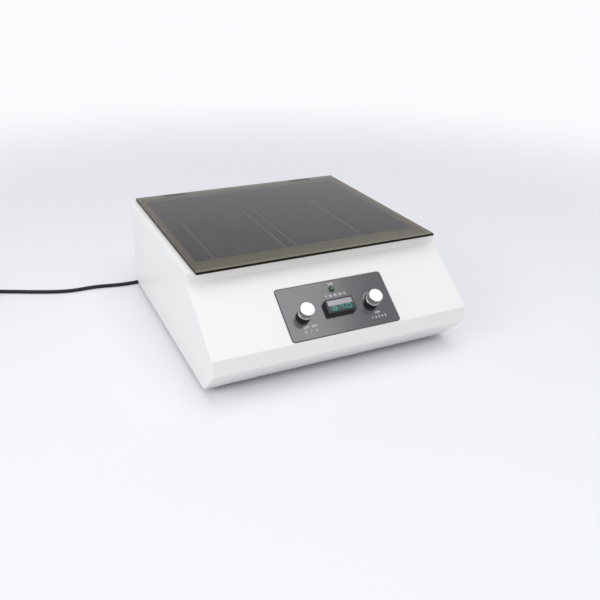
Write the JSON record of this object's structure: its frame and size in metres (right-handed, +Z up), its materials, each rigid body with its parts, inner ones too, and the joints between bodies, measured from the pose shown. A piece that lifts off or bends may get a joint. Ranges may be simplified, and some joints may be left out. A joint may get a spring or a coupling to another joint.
{
  "type": "incubated benchtop shaker",
  "caption": "Low heated orbital shaker for well plates: folded casing with a sloping control front, hinged smoked lid, and a crank-driven platform in a heated chamber.",
  "frame": {"origin": "on the surface the feet stand on, below the middle of the object's box without its lead", "axes": "+X to the right of someone standing in front, -Y the front, +Z up"},
  "size_m": [0.8246, 0.5851, 0.1808],
  "materials": {
    "white_paint": "satin",
    "zinc_sheet": "satin",
    "foot_rubber": "matte",
    "steel_screw": "polished",
    "dark_screw": "satin",
    "tray_paint": "satin",
    "seal_foam": "matte",
    "mat_silicone": "matte",
    "black_plastic": "satin",
    "panel_paint": "satin",
    "window_lens": "gloss",
    "lamp_green": "gloss",
    "cast_alloy": "cast",
    "bearing_steel": "ground",
    "motor_paint": "satin",
    "belt_rubber": "matte",
    "board_green": "satin",
    "core_steel": "satin",
    "white_plastic": "satin",
    "hinge_paint": "satin",
    "cord_rubber": "satin",
    "brass_pin": "polished",
    "smoked_acrylic": "gloss",
    "alloy_plate": "brushed",
    "channel_paint": "satin",
    "knurled_metal": "knurled"
  },
  "bodies": {
    "casing": {"outer_casing": "white_paint", "base_pan": "zinc_sheet", "rubber_feet": "foot_rubber", "foot_screws": "steel_screw", "casing_screws": "dark_screw", "chamber_tray": "tray_paint", "lid_seal": "seal_foam", "heater_mat": "mat_silicone", "thermal_cutout": "black_plastic", "temperature_probe": "steel_screw", "control_panel": "panel_paint", "display_housing": "black_plastic", "display_window": "window_lens", "lamp_bezel": "black_plastic", "lamp_lens": "lamp_green", "heater_switch": "black_plastic", "speed_potentiometer": "steel_screw", "panel_nuts": "steel_screw", "mechanism_deck": "zinc_sheet", "deck_columns": "steel_screw", "bearing_housing": "cast_alloy", "main_bearings": "bearing_steel", "idler_housings": "cast_alloy", "idler_bearings": "bearing_steel", "drive_motor": "motor_paint", "motor_spacers": "steel_screw", "drive_belt": "belt_rubber", "control_board": "board_green", "transformer": "core_steel", "terminal_block": "white_plastic", "hinge_leaves": "hinge_paint", "hinge_pins": "steel_screw", "cord_gland": "black_plastic", "mains_lead": "cord_rubber", "lead_coil": "cord_rubber", "mains_plug": "cord_rubber", "plug_pins": "brass_pin"},
    "lid": {"lid_panel": "smoked_acrylic", "lid_clips": "hinge_paint", "clip_screws": "dark_screw"},
    "crank": {"drive_crank": "bearing_steel", "driven_pulley": "cast_alloy", "counterweight": "core_steel"},
    "platform": {"carrier_plate": "alloy_plate", "left_plate_channel": "channel_paint", "right_plate_channel": "channel_paint", "platform_bearings": "bearing_steel", "channel_screws": "steel_screw"},
    "front_left_idler": {"front_left_idler": "bearing_steel"},
    "front_right_idler": {"front_right_idler": "bearing_steel"},
    "rear_left_idler": {"rear_left_idler": "bearing_steel"},
    "rear_right_idler": {"rear_right_idler": "bearing_steel"},
    "motor_rotor": {"motor_shaft": "bearing_steel", "motor_pulley": "cast_alloy"},
    "heater_knob": {"heater_knob": "black_plastic", "heater_knob_cap": "knurled_metal", "heater_spindle": "bearing_steel"},
    "speed_knob": {"speed_knob": "black_plastic", "speed_knob_cap": "knurled_metal", "speed_spindle": "bearing_steel"}
  },
  "joints": [
    {"name": "lid_hinge", "type": "hinge", "parent": "casing", "child": "lid", "pos_m": [0, 0.236, 0.1745], "axis": [-1, 0, 0], "range_deg": [0, 100]},
    {"name": "drive_spin", "type": "hinge", "parent": "casing", "child": "crank", "pos_m": [0, 0.053, 0.1], "axis": [0, 0, 1], "continuous": true},
    {"name": "platform_orbit", "type": "hinge", "parent": "crank", "child": "platform", "pos_m": [0, 0.055, 0.121], "axis": [0, 0, 1], "continuous": true},
    {"name": "motor_spin", "type": "hinge", "parent": "casing", "child": "motor_rotor", "pos_m": [0.115, 0.053, 0.07], "axis": [0, 0, 1], "continuous": true},
    {"name": "heater_turn", "type": "hinge", "parent": "casing", "child": "heater_knob", "pos_m": [-0.0613, -0.20494, 0.10658], "axis": [0, -0.5852, 0.8109], "range_deg": [0, 60]},
    {"name": "speed_turn", "type": "hinge", "parent": "casing", "child": "speed_knob", "pos_m": [0.0573, -0.20494, 0.10658], "axis": [0, -0.5852, 0.8109], "range_deg": [0, 270]},
    {"name": "front_left_idler_spin", "type": "hinge", "parent": "casing", "child": "front_left_idler", "pos_m": [-0.115, -0.032, 0.1], "axis": [0, 0, 1], "continuous": true},
    {"name": "front_right_idler_spin", "type": "hinge", "parent": "casing", "child": "front_right_idler", "pos_m": [0.115, -0.032, 0.1], "axis": [0, 0, 1], "continuous": true},
    {"name": "rear_left_idler_spin", "type": "hinge", "parent": "casing", "child": "rear_left_idler", "pos_m": [-0.115, 0.138, 0.1], "axis": [0, 0, 1], "continuous": true},
    {"name": "rear_right_idler_spin", "type": "hinge", "parent": "casing", "child": "rear_right_idler", "pos_m": [0.115, 0.138, 0.1], "axis": [0, 0, 1], "continuous": true}
  ],
  "couplings": [
    {"joint": "platform_orbit", "follows": "drive_spin", "ratio": -1},
    {"joint": "motor_spin", "follows": "drive_spin", "ratio": 2.9167},
    {"joint": "front_left_idler_spin", "follows": "drive_spin", "ratio": 1},
    {"joint": "front_right_idler_spin", "follows": "drive_spin", "ratio": 1},
    {"joint": "rear_left_idler_spin", "follows": "drive_spin", "ratio": 1},
    {"joint": "rear_right_idler_spin", "follows": "drive_spin", "ratio": 1}
  ]
}
